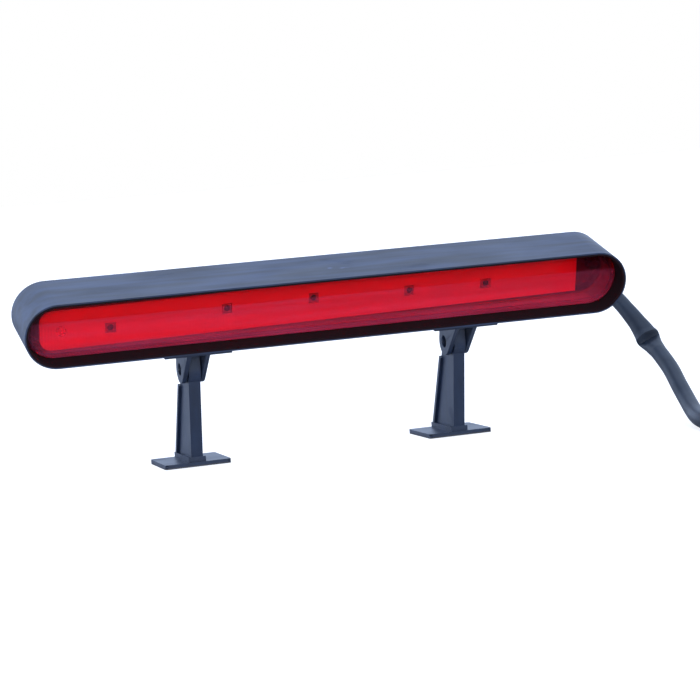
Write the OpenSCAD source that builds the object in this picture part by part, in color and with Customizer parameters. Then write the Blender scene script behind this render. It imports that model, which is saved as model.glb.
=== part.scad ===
// Third brake light: a slim LED lamp in an open-front hood, carried on two hinged legs whose feet
// stick to a shelf. Origin: on the floor, under the middle of the lamp and its feet. The lens
// faces -Y, X runs along the lamp, Z is up. Inside the lamp's own frame (see lamp_frame) Y is the
// depth behind the front rim and Z the height above the lamp's long axis.

/* [Housing] */
// Overall length of the housing
housing_length = 300; // [240:1:400]
// Overall height of the housing, which is also the diameter of its round ends
housing_height = 31.6; // [30:0.2:36]
// Depth from the front rim to the back
housing_depth = 33.5; // [33:0.5:40]
// Wall of the hood at the front
hood_wall = 1.6; // [1.4:0.1:2.2]
// Wall behind the ledge that carries the lens
rear_wall = 3; // [2.6:0.1:3.2]

/* [Lens] */
// Depth of the hood in front of the lens
lens_recess = 9; // [7:0.5:10]
// Thickness of the lens
lens_wall = 1.8; // [1.4:0.1:2.2]
// Width of the bevel around the lens face
lens_bevel = 1.4; // [0.6:0.1:3]

/* [Light source] */
// Distance from the face of the lens back to the reflector's left end
reflector_behind = 3.4; // [3.2:0.1:4]
// Angle by which the reflector slopes away from the lens, to the right
reflector_slope = 2; // [0:0.1:2]
// Height of the reflector
reflector_height = 19.4; // [18:0.1:20]
// Side of the square LED package
led_size = 4.5; // [3:0.5:5.5]

/* [Stance] */
// Angle by which the lamp leans towards its lens
lean = 18; // [10:0.5:22]
// Height of the lamp's axis above the floor, at the front rim
lamp_rise = 71; // [68:0.5:80]
// Distance from the lamp's middle to the middle of each leg
leg_reach = 67.6; // [50:0.1:100]
// Shift of both legs along the lamp
leg_shift = 1.4; // [-5:0.1:5]

/* [Brackets] */
// Length of a bracket's pad along the lamp
pad_length = 33; // [28:1:50]
// Thickness of a bracket's pad
pad_thick = 3.8; // [3:0.1:5]
// Thickness of one ear
ear_thick = 2.3; // [1.8:0.1:3]
// Radius of an ear around the hinge pin
ear_radius = 6.9; // [6.5:0.1:7.6]
// Depth of the hinge pin behind the front rim
pivot_depth = 22.6; // [21:0.1:26]
// Drop of the hinge pin below the lamp's axis
pivot_drop = 31.8; // [31.6:0.1:36]
// Diameter of the hinge pin
pin_diameter = 6; // [4:0.5:7]

/* [Legs] */
// Thickness of a leg along the lamp
leg_width = 5.8; // [4:0.1:8]
// Radius of a leg's round head
leg_head_radius = 8; // [7.5:0.1:8.5]
// Width of a foot along the lamp
foot_width = 32.8; // [24:0.2:50]
// Depth of a foot from toe to heel
foot_depth = 33; // [28:1:40]
// Thickness of a foot's plate
foot_thick = 1.6; // [1.2:0.1:3]
// Thickness of the adhesive tape under a foot
tape_thick = 0.6; // [0.4:0.1:1.2]
// Distance from the hinge pin forward to the toe of the foot
foot_toe = -1; // [-2:0.5:4]

/* [Cable] */
// Outside diameter of the cable's sleeve
cable_diameter = 8.4; // [7.5:0.1:8.4]
// Diameter of the coil at the middle of its turns
coil_diameter = 92; // [86:1:96]
// Middle of the coil along the lamp and in front of it
coil_middle = [238, -85];

/* [Hidden] */

$fn = 48;
// A little more than nothing, for cutting right through a face
cut = 0.5;
// Thinnest slice of an outline, for hulls
slice = 0.1;
// Gap between parts that slide together
slip = 0.15;
// What a clearance hole adds to its screw's diameter
screw_slip = 0.3;

// Lamp: places in depth
lens_depth = 22.5 - lens_recess;
// Outer profile of the lens: distance behind its face, and inset as a share of the bevel
lens_profile = [[0, 1], [1, 0.35], [2.4, 0]];
// Hollow of the lens: distance behind its face, and inset inside the wall
lens_hollow = [[lens_wall, lens_bevel / 2], [lens_wall + 1, 0]];
lens_back = lens_recess + lens_depth;
lens_seal_thick = 0.8;
ledge_front = lens_back + lens_seal_thick;
ledge_back = ledge_front + 1.7;
reflector_thick = 1.3;
reflector_front = lens_recess + reflector_behind;
cover_thick = 2;
cover_front = housing_depth - cover_thick;
cover_seal_thick = 0.8;
shoulder = cover_front - cover_seal_thick;
board_gap = 1.4;
board_front = reflector_front + reflector_thick + board_gap;
board_thick = 1.6;
board_back = board_front + board_thick;

// Lamp: heights of the stadium outlines
hood_inside = housing_height - 2 * hood_wall;
ledge_opening = hood_inside - 5;
rear_inside = housing_height - 2 * rear_wall;

// Reflector
reflector_left = -140.8;
reflector_right = 132.5;
reflector_middle = (reflector_left + reflector_right) / 2;
// Height of the reflector's middle above the lamp's long axis
reflector_rise = -1.5;
reflector_flange = rear_inside - 0.6;
reflector_wall = 1;
reflector_corner = 5.5;
// Room for the cover's bosses: width along X, and height at which it begins
boss_notch = [8, 6.5];

// Light source
board_size = [reflector_right - reflector_left - 14, 14];
led_sink = 0.4;
led_front = reflector_front + led_sink;
led_window = led_size + 0.6;
// Places of the LEDs in X, and in Z above the reflector's middle
led_at = [[-107, -1.5], [-50, 1.5], [-6.5, 2], [43, 0.3], [83.5, -0.5]];
resistor_size = [3.2, 0.6, 1.6];
// Distance of a resistor's middle from its LED's, along X and Z
resistor_away = [4, 2];
diode_size = [4.3, 2, 2.6];
diode_at = [112, -4];

// Screws: diameter of the shank, diameter and height of the head, length under the head
board_screw = [2, 3.8, 1.1, 3.6];
cover_screw = [2.2, 4.2, 1.4, 5.6];
bracket_screw = [2.2, 4, 1.3, 5.2];

// Places of the board's screws
board_screw_x = [-80, 18, 104];
board_boss = 5;
board_pilot_front = board_back - board_screw[3] - slip;

// Places of the cover's screws in X and Z, and the bosses that take them
cover_screw_at = [[-143.4, 0], [143.4, 0], [0, 9.6], [0, -9.6]];
cover_boss = 5.4;
// Thickness and length of the web that joins a boss to the wall
boss_web = [3, 3.8];
pilot_bottom = ledge_back + 1;
head_sink = 1;

// Gland and wires
gland_at = [130, -3];
gland_hole = 11;
grommet_flange = [14, 1.2];
grommet_lip = [12.8, 0.9];
// Diameters of the grommet's tail at its root and its end, and its length
grommet_tail = [12, 10.6, 9];
grommet_bore = cable_diameter + 0.2;
grommet_bore_bottom = cover_front + 1;
wire_diameter = 1.4;
wire_bore = 4.4;
wire_pitch = 1.9;
wire_bend = 1.6;
wire_start_x = 119;
wire_depth = board_back + wire_diameter / 2
    + (reflector_middle + board_size[0] / 2 - reflector_left) * tan(reflector_slope);

// Brackets
ear_gap = leg_width + 1;
pad_front = 7;
pad_back = 33;
pad_top = -housing_height / 2;
pad_bottom = pad_top - pad_thick;
ear_back = pivot_depth + ear_radius;
bracket_screw_x = 11;
bracket_screw_depth = 28.4;
bracket_width = ear_gap + 2 * ear_thick;
// How far each end of the hinge pin is sunk in its ear
pin_sunk = 1.6;
pin_length = bracket_width - 2 * pin_sunk;
pin_slip = 0.05;

// Stance, worked out in the row's frame
unshifted_pivot_y = pivot_depth * cos(lean) + pivot_drop * sin(lean);
unshifted_front_y = -housing_height / 2 * sin(lean);
unshifted_heel_y = unshifted_pivot_y - foot_toe + foot_depth;
lamp_y = -(unshifted_front_y + unshifted_heel_y) / 2;
pivot_y = row_y(pivot_depth, -pivot_drop);
pivot_z = row_z(pivot_depth, -pivot_drop);

// Legs
// Brow of a leg's head: how far ahead of the pin and above it, and its radius
leg_brow = [4.8, 6.6, 3];
foot_top = tape_thick + foot_thick;
toe_y = pivot_y - foot_toe;
heel_y = toe_y + foot_depth;
leg_base_front = toe_y + 2.4;
leg_base_back = heel_y - 1.8;
rib_thick = 2.2;
rib_proud = 1.3;
rib_top = 13;
// How far the block at the bottom of a leg stands proud in X and in Y, and its height
base_block = [1.4, 0.6, 2.4];
foot_corner = 1.5;

// Cable: the route of the stretch that isn't coiled, then the coil
cable_sides = 10;
cable_route = [
    [130, 2.1, 78.4], [130, 13.5, 82], [131, 23, 84], [136, 31, 83], [144, 35, 79], [153, 35, 73],
    [161, 31, 66], [167, 24, 59.5], [170, 15, 52], [172, 6, 44.5], [173, -4, 36.5], [173, -16, 30],
    [172, -28, 24], [170, -40, 17.5], [168, -52, 11.5], [165, -65, 7], [161.5, -78, 5.2],
    [160, -90, 4.5], [162, -102, 4.5], [168.5, -112, 4.6], [178.5, -119.5, 4.7],
    [190.5, -126, 4.8], [204.3, -133.2, 4.8]
];
tie_thick = 0.6;
coil_section = 2 * cable_diameter;
coil_top = tie_thick + coil_section;
tie_angle = 60;
tie_width = 5;
wire_end_diameter = 2;
wire_end_pitch = 2.6;
wire_end_from = 174;
wire_end_sweep = 55;
// Diameter and length of the stripped copper
wire_core = [1.2, 7];

// Row coordinates of a point given by its depth and height in the lamp's frame
function row_y(depth, height) = lamp_y + depth * cos(lean) - height * sin(lean);
function row_z(depth, height) = lamp_rise + depth * sin(lean) + height * cos(lean);

// Point where the line from p touches the circle (c, r), on the side that side (1 or -1) picks
function tangent_point(p, c, r, side) =
    let (away = p - c, turn = atan2(away[1], away[0]) + side * acos(r / norm(away)))
    c + r * [cos(turn), sin(turn)];

function unit(v) = v / norm(v);

// Middle of the left (-1) or right (1) leg along the lamp
function leg_x(side) = side * leg_reach + leg_shift;

// Direction of the route at point i
function heading(route, i) =
    unit(route[min(i + 1, len(route) - 1)] - route[max(i - 1, 0)]);

// One ring of the swept tube, square to the route
function tube_ring(route, i, r, sides) =
    let (ahead = heading(route, i), side = unit(cross(ahead, [0, 0, 1])), over = cross(side, ahead))
    [for (k = [0 : sides - 1]) route[i] + r * (cos(360 * k / sides) * side + sin(360 * k / sides) * over)];

// Puts children drawn in the lamp's frame into the row's frame
module lamp_frame() {
    translate([0, lamp_y, lamp_rise]) rotate([lean, 0, 0]) children();
}

// Stadium outline: a straight bar with round ends
module stadium(length, height) {
    square([length - height, height], center = true);
    for (s = [-1, 1]) translate([s * (length - height) / 2, 0]) circle(d = height);
}

// Extrudes an outline drawn in X and Z from one depth to another
module at_depth(from, to) {
    translate([0, to, 0]) rotate([90, 0, 0]) linear_extrude(to - from) children();
}

// Stadium outline that keeps the housing's straight length, whatever its height
module housing_stadium(height) {
    stadium(housing_length - housing_height + height, height);
}

// Extrudes an outline drawn in Y and Z by a width centred on x
module across(x, width) {
    translate([x - width / 2, 0, 0]) rotate([90, 0, 90]) linear_extrude(width) children();
}

// Round bar along the lamp's depth
module depth_bar(x, z, diameter, from, to) {
    translate([x, to, z]) rotate([90, 0, 0]) cylinder(d = diameter, h = to - from);
}

// Pan-head screw pointing along -Z, with its head's underside at the origin
module screw(size) {
    cylinder(d = size[1], h = size[2]);
    translate([0, 0, -size[3]]) cylinder(d = size[0], h = size[3] + size[2] / 2);
}

// Bosses for the cover's screws, each with a web to the nearest wall
module wall_bosses() {
    for (at = cover_screw_at) {
        depth_bar(at[0], at[1], cover_boss, ledge_back, cover_front);
        at_depth(ledge_back, shoulder) translate(at) rotate(atan2(at[1], at[0]))
            translate([0, -boss_web[0] / 2]) square([boss_web[1], boss_web[0]]);
    }
}

module housing() {
    color([0.16, 0.17, 0.2]) lamp_frame() difference() {
        at_depth(0, housing_depth) housing_stadium(housing_height);
        at_depth(-cut, ledge_front) housing_stadium(hood_inside);
        at_depth(ledge_front - cut, ledge_back + cut) housing_stadium(ledge_opening);
        difference() {
            at_depth(ledge_back, shoulder + cut) housing_stadium(rear_inside);
            wall_bosses();
        }
        difference() {
            at_depth(shoulder, housing_depth + cut) housing_stadium(hood_inside);
            wall_bosses();
        }
        for (at = cover_screw_at)
            depth_bar(at[0], at[1], cover_screw[0], pilot_bottom, housing_depth);
        for (side = [-1, 1], dx = [-bracket_screw_x, bracket_screw_x])
            translate([leg_x(side) + dx, bracket_screw_depth, pad_top - cut])
                cylinder(d = bracket_screw[0] + screw_slip, h = rear_wall + 2 * cut);
    }
}

module rear_cover() {
    color([0.13, 0.14, 0.16]) lamp_frame() difference() {
        at_depth(cover_front, housing_depth) housing_stadium(hood_inside - 2 * slip);
        for (at = cover_screw_at) {
            depth_bar(at[0], at[1], cover_screw[0] + screw_slip, cover_front - cut, housing_depth);
            depth_bar(at[0], at[1], cover_screw[1] + screw_slip,
                      housing_depth - head_sink, housing_depth + cut);
        }
        depth_bar(gland_at[0], gland_at[1], gland_hole, cover_front - cut, housing_depth + cut);
    }
}

module cover_seal() {
    color([0.08, 0.08, 0.09]) lamp_frame() difference() {
        at_depth(shoulder, cover_front) housing_stadium(hood_inside - 2 * slip);
        at_depth(shoulder - cut, cover_front + cut) housing_stadium(rear_inside);
    }
}

module cover_screws() {
    color([0.7, 0.71, 0.73]) lamp_frame() for (at = cover_screw_at)
        translate([at[0], housing_depth - head_sink, at[1]]) rotate([-90, 0, 0])
            screw(cover_screw);
}

// Red cup: a bevelled face with a skirt that runs back to the ledge
module lens() {
    height = hood_inside - 2 * slip;
    skirt_front = lens_recess + lens_profile[len(lens_profile) - 1][0];
    color([0.8, 0.05, 0.08]) lamp_frame() difference() {
        union() {
            hull() for (p = lens_profile)
                at_depth(lens_recess + p[0], lens_recess + p[0] + slice)
                    housing_stadium(height - 2 * p[1] * lens_bevel);
            at_depth(skirt_front, lens_back) housing_stadium(height);
        }
        for (p = lens_hollow)
            at_depth(lens_recess + p[0], lens_back + cut)
                housing_stadium(height - 2 * lens_wall - 2 * p[1]);
    }
}

module lens_seal() {
    color([0.1, 0.1, 0.11]) lamp_frame() difference() {
        at_depth(lens_back, ledge_front) housing_stadium(hood_inside - 2 * slip);
        at_depth(lens_back - cut, ledge_front + cut) housing_stadium(ledge_opening);
    }
}

// Puts children at the reflector's height, and slopes them away from the lens about its left end
module sloped() {
    translate([reflector_left, reflector_front, reflector_rise]) rotate([0, 0, reflector_slope])
        translate([-reflector_left, -reflector_front, 0]) children();
}

// Outline of the reflector's floor: square at the right, with round corners at the left
module reflector_outline(height) {
    r = reflector_corner;
    hull() {
        for (s = [-1, 1])
            translate([reflector_left + r, s * (height / 2 - r)]) circle(r = r);
        translate([reflector_right - r, -height / 2]) square([r, height]);
    }
}

// Sloping channel: the reflector's floor and the walls that run back from it
module reflector_channel(back) {
    start = reflector_left + reflector_corner;
    sloped() at_depth(reflector_front, reflector_front + reflector_thick)
        reflector_outline(reflector_height);
    intersection() {
        sloped() for (low = [-reflector_height / 2, reflector_height / 2 - reflector_wall])
            translate([start, reflector_front + slice, low])
                cube([reflector_right - start, housing_depth, reflector_wall]);
        at_depth(0, back) square([2 * housing_length, 2 * housing_height], center = true);
    }
}

// White channel with a flange behind the ledge, windows for the LEDs and bosses for the board
module reflector() {
    back = ledge_back + reflector_thick;
    inside = reflector_height - reflector_wall;
    color([0.93, 0.93, 0.92]) lamp_frame() difference() {
        union() {
            reflector_channel(back);
            for (x = board_screw_x)
                sloped() depth_bar(x, 0, board_boss, reflector_front + slice, board_front);
            at_depth(ledge_back, back) difference() {
                intersection() {
                    housing_stadium(reflector_flange);
                    translate([reflector_left, -reflector_flange / 2])
                        square([reflector_right - reflector_left, reflector_flange]);
                }
                translate([reflector_left - cut, reflector_rise - inside / 2])
                    square([housing_length, inside]);
            }
        }
        for (at = led_at)
            sloped() at_depth(reflector_front - cut, board_front) translate(at)
                square(led_window, center = true);
        for (x = board_screw_x)
            sloped() depth_bar(x, 0, board_screw[0], board_pilot_front, board_front + cut);
        for (s = [0, 180]) rotate([0, s, 0])
            translate([-boss_notch[0] / 2, ledge_back - slip, boss_notch[1]])
                cube([boss_notch[0], reflector_thick + 2 * slip, reflector_flange]);
    }
}

module led_board() {
    color([0.9, 0.91, 0.88]) lamp_frame() sloped() difference() {
        at_depth(board_front, board_back) translate([reflector_middle, 0])
            square(board_size, center = true);
        for (x = board_screw_x)
            depth_bar(x, 0, board_screw[0] + screw_slip, board_front - cut, board_back + cut);
    }
}

module leds() {
    color([0.95, 0.93, 0.8]) lamp_frame() sloped() for (at = led_at)
        at_depth(led_front, board_front) translate(at) square(led_size, center = true);
}

module resistors() {
    color([0.12, 0.12, 0.13]) lamp_frame() sloped() for (at = led_at, s = [-1, 1])
        translate([at[0] + s * resistor_away[0] - resistor_size[0] / 2, board_back,
                   s * resistor_away[1] - resistor_size[2] / 2])
            cube(resistor_size);
}

module rectifier_diode() {
    color([0.1, 0.1, 0.1]) lamp_frame() sloped()
        translate([diode_at[0] - diode_size[0] / 2, board_back, diode_at[1] - diode_size[2] / 2])
            cube(diode_size);
}

module board_screws() {
    color([0.7, 0.71, 0.73]) lamp_frame() sloped() for (x = board_screw_x)
        translate([x, board_back, 0]) rotate([-90, 0, 0]) screw(board_screw);
}

// Wire from the board along the lamp and then out through the grommet
module inner_wire(height) {
    lamp_frame() translate([0, wire_depth, height]) {
        end_x = gland_at[0] - wire_bend;
        translate([wire_start_x, 0, 0]) rotate([0, 90, 0])
            cylinder(d = wire_diameter, h = end_x - wire_start_x);
        translate([end_x, wire_bend, 0]) rotate([0, 0, -90]) rotate_extrude(angle = 90)
            translate([wire_bend, 0]) circle(d = wire_diameter);
        translate([end_x + wire_bend, wire_bend, 0]) rotate([-90, 0, 0])
            cylinder(d = wire_diameter, h = grommet_bore_bottom - wire_depth - wire_bend);
    }
}

module wire_red() {
    color([0.75, 0.08, 0.08]) inner_wire(gland_at[1] + wire_pitch / 2);
}

module wire_black() {
    color([0.08, 0.08, 0.08]) inner_wire(gland_at[1] - wire_pitch / 2);
}

module cable_grommet() {
    x = gland_at[0];
    z = gland_at[1];
    tail_end = housing_depth + grommet_flange[1] + grommet_tail[2];
    color([0.09, 0.09, 0.1]) lamp_frame() difference() {
        union() {
            depth_bar(x, z, gland_hole, cover_front - grommet_lip[1], housing_depth);
            depth_bar(x, z, grommet_lip[0], cover_front - grommet_lip[1], cover_front);
            depth_bar(x, z, grommet_flange[0], housing_depth, housing_depth + grommet_flange[1]);
            translate([x, housing_depth + grommet_flange[1], z]) rotate([-90, 0, 0])
                cylinder(d1 = grommet_tail[0], d2 = grommet_tail[1], h = grommet_tail[2]);
        }
        depth_bar(x, z, grommet_bore, grommet_bore_bottom, tail_end + cut);
        depth_bar(x, z, wire_bore, cover_front - grommet_lip[1] - cut, tail_end);
    }
}

// Free stretch of the cable, from the grommet to the coil
module cable_sleeve() {
    count = len(cable_route);
    rings = [for (i = [0 : count - 1])
        each tube_ring(cable_route, i, cable_diameter / 2, cable_sides)];
    last = (count - 1) * cable_sides;
    faces = concat(
        [[for (k = [0 : cable_sides - 1]) k]],
        [for (i = [0 : count - 2], k = [0 : cable_sides - 1]) let (next = (k + 1) % cable_sides)
            [i * cable_sides + k, (i + 1) * cable_sides + k,
             (i + 1) * cable_sides + next, i * cable_sides + next]],
        [[for (k = [cable_sides - 1 : -1 : 0]) last + k]]
    );
    color([0.1, 0.1, 0.12]) polyhedron(points = rings, faces = faces, convexity = 8);
}

// Places children in the middle of the coil, at floor level
module at_coil() {
    translate([coil_middle[0], coil_middle[1], 0]) children();
}

// Outer shape of the coiled cable: two turns wide and two high
module cable_coil() {
    corner = cable_diameter / 2;
    color([0.1, 0.1, 0.12]) at_coil() rotate_extrude($fn = 96)
        translate([coil_diameter / 2, tie_thick + coil_section / 2]) {
            square([coil_section, coil_section - 2 * corner], center = true);
            square([coil_section - 2 * corner, coil_section], center = true);
            for (a = [-1, 1], b = [-1, 1])
                translate([a, b] * (coil_section / 2 - corner)) circle(r = corner);
        }
}

// Strap around the coil
module coil_tie() {
    color([0.05, 0.05, 0.05]) at_coil() rotate(tie_angle) translate([coil_diameter / 2, 0, 0])
        difference() {
            inside = coil_section + 2 * slip;
            translate([0, 0, coil_top / 2 + tie_thick / 2])
                cube([inside + 2 * tie_thick, tie_width, coil_top + tie_thick], center = true);
            translate([0, 0, tie_thick + coil_section / 2])
                cube([inside, tie_width + cut, coil_section], center = true);
        }
}

// Arc of round wire lying on top of the coil
module coil_top_arc(radius, diameter, from, sweep) {
    at_coil() translate([0, 0, coil_top + wire_end_diameter / 2]) rotate(from)
        rotate_extrude(angle = sweep, $fn = 96) translate([radius, 0]) circle(d = diameter);
}

module wire_end(side) {
    coil_top_arc(coil_diameter / 2 + side * wire_end_pitch / 2, wire_end_diameter,
                 wire_end_from, wire_end_sweep);
}

module wire_end_red() {
    color([0.75, 0.08, 0.08]) wire_end(1);
}

module wire_end_black() {
    color([0.08, 0.08, 0.08]) wire_end(-1);
}

// Stripped copper at the free end of each wire
module wire_cores() {
    color([0.8, 0.5, 0.3]) for (side = [-1, 1]) {
        radius = coil_diameter / 2 + side * wire_end_pitch / 2;
        coil_top_arc(radius, wire_core[0], wire_end_from + wire_end_sweep,
                     wire_core[1] / radius * 180 / PI);
    }
}

// Outline of an ear in depth and height
module ear_section() {
    pivot = [pivot_depth, -pivot_drop];
    toe = [pad_front, pad_bottom];
    polygon([
        [pad_front, pad_bottom + cut], toe, tangent_point(toe, pivot, ear_radius, 1), pivot,
        [ear_back, -pivot_drop], [ear_back, pad_bottom + cut]
    ]);
    translate(pivot) circle(r = ear_radius);
}

module bracket(x) {
    color([0.18, 0.19, 0.22]) lamp_frame() difference() {
        union() {
            translate([x - pad_length / 2, pad_front, pad_bottom])
                cube([pad_length, pad_back - pad_front, pad_thick]);
            for (s = [-1, 1]) across(x + s * (ear_gap + ear_thick) / 2, ear_thick) ear_section();
        }
        translate([x - bracket_width / 2 - cut, pivot_depth, -pivot_drop]) rotate([0, 90, 0])
            cylinder(d = pin_diameter, h = bracket_width + 2 * cut);
        for (dx = [-bracket_screw_x, bracket_screw_x])
            translate([x + dx, bracket_screw_depth, pad_bottom - cut])
                cylinder(d = bracket_screw[0], h = pad_thick + 2 * cut);
    }
}

module bracket_left() {
    bracket(leg_x(-1));
}

module bracket_right() {
    bracket(leg_x(1));
}

// Screws that go down from inside the housing into a bracket's pad
module bracket_screws(x) {
    color([0.7, 0.71, 0.73]) lamp_frame() for (dx = [-bracket_screw_x, bracket_screw_x])
        translate([x + dx, bracket_screw_depth, pad_top + rear_wall]) screw(bracket_screw);
}

module bracket_screws_left() {
    bracket_screws(leg_x(-1));
}

module bracket_screws_right() {
    bracket_screws(leg_x(1));
}

module hinge_pin(x) {
    color([0.12, 0.12, 0.14]) translate([x - pin_length / 2, pivot_y, pivot_z]) rotate([0, 90, 0])
        cylinder(d = pin_diameter, h = pin_length);
}

module hinge_pin_left() {
    hinge_pin(leg_x(-1));
}

module hinge_pin_right() {
    hinge_pin(leg_x(1));
}

// Outline of a leg in Y and Z: a bar that widens down to the foot, with a round head and a brow
module leg_section() {
    pivot = [pivot_y, pivot_z];
    brow = pivot + [-leg_brow[0], leg_brow[1]];
    front = [leg_base_front, foot_top];
    back = [leg_base_back, foot_top];
    polygon([
        front, tangent_point(front, brow, leg_brow[2], -1), brow, pivot,
        tangent_point(back, pivot, leg_head_radius, 1), back
    ]);
    hull() {
        translate(pivot) circle(r = leg_head_radius);
        translate(brow) circle(r = leg_brow[2]);
    }
}

// Outline of the rib along a leg's back edge
module rib_section() {
    back = [leg_base_back, foot_top];
    head = tangent_point(back, [pivot_y, pivot_z], leg_head_radius, 1);
    up = unit(head - back);
    inward = [-up[1], up[0]];
    top = head - up * rib_top;
    polygon([back, top, top + inward * rib_thick, back + inward * rib_thick]);
}

module foot_outline(x) {
    width = foot_width - 2 * foot_corner;
    depth = foot_depth - 2 * foot_corner;
    translate([x, (toe_y + heel_y) / 2]) {
        square([foot_width, depth], center = true);
        square([width, foot_depth], center = true);
        for (a = [-1, 1], b = [-1, 1])
            translate([a * width / 2, b * depth / 2]) circle(r = foot_corner);
    }
}

module leg(x) {
    color([0.2, 0.21, 0.25]) difference() {
        union() {
            across(x, leg_width) leg_section();
            across(x, leg_width + 2 * rib_proud) rib_section();
            translate([x - leg_width / 2 - base_block[0], leg_base_front - base_block[1], tape_thick])
                cube([leg_width + 2 * base_block[0],
                      leg_base_back - leg_base_front + 2 * base_block[1],
                      foot_thick + base_block[2]]);
            translate([0, 0, tape_thick]) linear_extrude(foot_thick) foot_outline(x);
        }
        translate([x - leg_width, pivot_y, pivot_z]) rotate([0, 90, 0])
            cylinder(d = pin_diameter + 2 * pin_slip, h = 2 * leg_width);
    }
}

module leg_left() {
    leg(leg_x(-1));
}

module leg_right() {
    leg(leg_x(1));
}

module foot_tape_left() {
    color([0.3, 0.3, 0.32]) linear_extrude(tape_thick) foot_outline(leg_x(-1));
}

module foot_tape_right() {
    color([0.3, 0.3, 0.32]) linear_extrude(tape_thick) foot_outline(leg_x(1));
}

housing();
rear_cover();
cover_seal();
cover_screws();
lens();
lens_seal();
reflector();
led_board();
leds();
resistors();
rectifier_diode();
board_screws();
wire_red();
wire_black();
cable_grommet();
cable_sleeve();
cable_coil();
coil_tie();
wire_end_red();
wire_end_black();
wire_cores();
bracket_left();
bracket_right();
bracket_screws_left();
bracket_screws_right();
hinge_pin_left();
hinge_pin_right();
leg_left();
leg_right();
foot_tape_left();
foot_tape_right();
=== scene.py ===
"""Third brake light: camera, cable, lens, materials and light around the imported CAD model."""

import math

import bmesh
import bpy
from mathutils import Euler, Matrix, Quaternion, Vector


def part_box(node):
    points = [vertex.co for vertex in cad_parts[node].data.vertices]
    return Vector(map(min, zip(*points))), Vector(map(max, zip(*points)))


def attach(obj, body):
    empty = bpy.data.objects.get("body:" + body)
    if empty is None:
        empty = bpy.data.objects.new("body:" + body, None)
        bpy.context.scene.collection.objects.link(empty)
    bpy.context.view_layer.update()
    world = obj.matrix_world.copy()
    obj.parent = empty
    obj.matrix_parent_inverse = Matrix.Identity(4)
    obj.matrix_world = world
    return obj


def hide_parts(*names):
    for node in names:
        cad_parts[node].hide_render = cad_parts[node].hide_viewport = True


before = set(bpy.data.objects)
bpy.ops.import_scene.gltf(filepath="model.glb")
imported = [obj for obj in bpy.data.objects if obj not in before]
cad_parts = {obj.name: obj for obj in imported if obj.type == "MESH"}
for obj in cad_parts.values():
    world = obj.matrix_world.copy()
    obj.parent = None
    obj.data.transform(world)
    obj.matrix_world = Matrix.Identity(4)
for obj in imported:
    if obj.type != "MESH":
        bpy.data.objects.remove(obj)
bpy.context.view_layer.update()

MM = 0.001
UP = Vector((0, 0, 1))
# Points closer together than this are joined into one
MERGE = 0.002 * MM
# Share of upwards from which a tube's start is taken as upright
STEEP = 0.9

# ---------------------------------------------------------------- camera

# Place in metres, angles in degrees, lens in millimetres
CAMERA_PLACE = (-0.3262, -1.1027, 0.1391)
CAMERA_AZIMUTH, CAMERA_ELEVATION, CAMERA_ROLL = -17.147, 4.486, -4.664
CAMERA_LENS = 121.4


def make_camera():
    """A long lens, in front of the lamp and to its left, a little rolled."""
    camera = bpy.data.objects.new("camera", bpy.data.cameras.new("camera"))
    bpy.context.collection.objects.link(camera)
    camera.data.lens = CAMERA_LENS
    camera.location = CAMERA_PLACE
    camera.rotation_mode = "QUATERNION"
    camera.rotation_quaternion = (
        Euler((math.radians(90 - CAMERA_ELEVATION), 0, math.radians(CAMERA_AZIMUTH))).to_quaternion()
        @ Quaternion(UP, math.radians(CAMERA_ROLL))
    )
    bpy.context.scene.camera = camera


# ---------------------------------------------------------------- the lamp's own frame

LEAN = math.radians(18)
HOUSING_LENGTH = 300 * MM
HOUSING_HEIGHT = 31.6 * MM
HOUSING_DEPTH = 33.5 * MM
HOOD_WALL = 1.6 * MM
# Half the length of the housing's straight part
HOUSING_STRAIGHT = (HOUSING_LENGTH - HOUSING_HEIGHT) / 2

# The front of the housing's axis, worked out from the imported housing's box
housing_low, housing_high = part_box("housing")
LAMP_Y = housing_low.y + HOUSING_HEIGHT / 2 * math.sin(LEAN)
LAMP_Z = housing_high.z - HOUSING_HEIGHT / 2 * math.cos(LEAN) - HOUSING_DEPTH * math.sin(LEAN)


def lamp_point(x, depth, height):
    """A point of the leaning lamp's own frame, put into the row's frame."""
    return Vector((
        x,
        LAMP_Y + depth * math.cos(LEAN) - height * math.sin(LEAN),
        LAMP_Z + depth * math.sin(LEAN) + height * math.cos(LEAN),
    ))


# ---------------------------------------------------------------- mesh tools


def new_piece(name, bm, body, smooth_angle=40):
    """Turns a bmesh into a piece that rides on a body."""
    bmesh.ops.recalc_face_normals(bm, faces=bm.faces)
    mesh = bpy.data.meshes.new(name)
    bm.to_mesh(mesh)
    bm.free()
    mesh.shade_smooth()
    piece = bpy.data.objects.new(name, mesh)
    bpy.context.collection.objects.link(piece)
    mesh.set_sharp_from_angle(angle=math.radians(smooth_angle))
    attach(piece, body)
    return piece


def smooth_route(points, steps):
    """Catmull-Rom curve through the points, with that many steps from each to the next."""
    points = [Vector(p) for p in points]
    ends = [2 * points[0] - points[1], *points, 2 * points[-1] - points[-2]]
    line = []
    for a, b, c, d in zip(ends, ends[1:], ends[2:], ends[3:]):
        for i in range(steps):
            t = i / steps
            line.append(0.5 * (2 * b + (c - a) * t + (2 * a - 5 * b + 4 * c - d) * t ** 2
                               + (3 * b - a - 3 * c + d) * t ** 3))
    return line + [points[-1]]


def lengths_along(line):
    """Distance of each point of a line from its start."""
    along = [0.0]
    for a, b in zip(line, line[1:]):
        along.append(along[-1] + (b - a).length)
    return along


def tangents(line):
    """Direction of a line at each of its points."""
    last = len(line) - 1
    return [(line[min(i + 1, last)] - line[max(i - 1, 0)]).normalized() for i in range(last + 1)]


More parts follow.
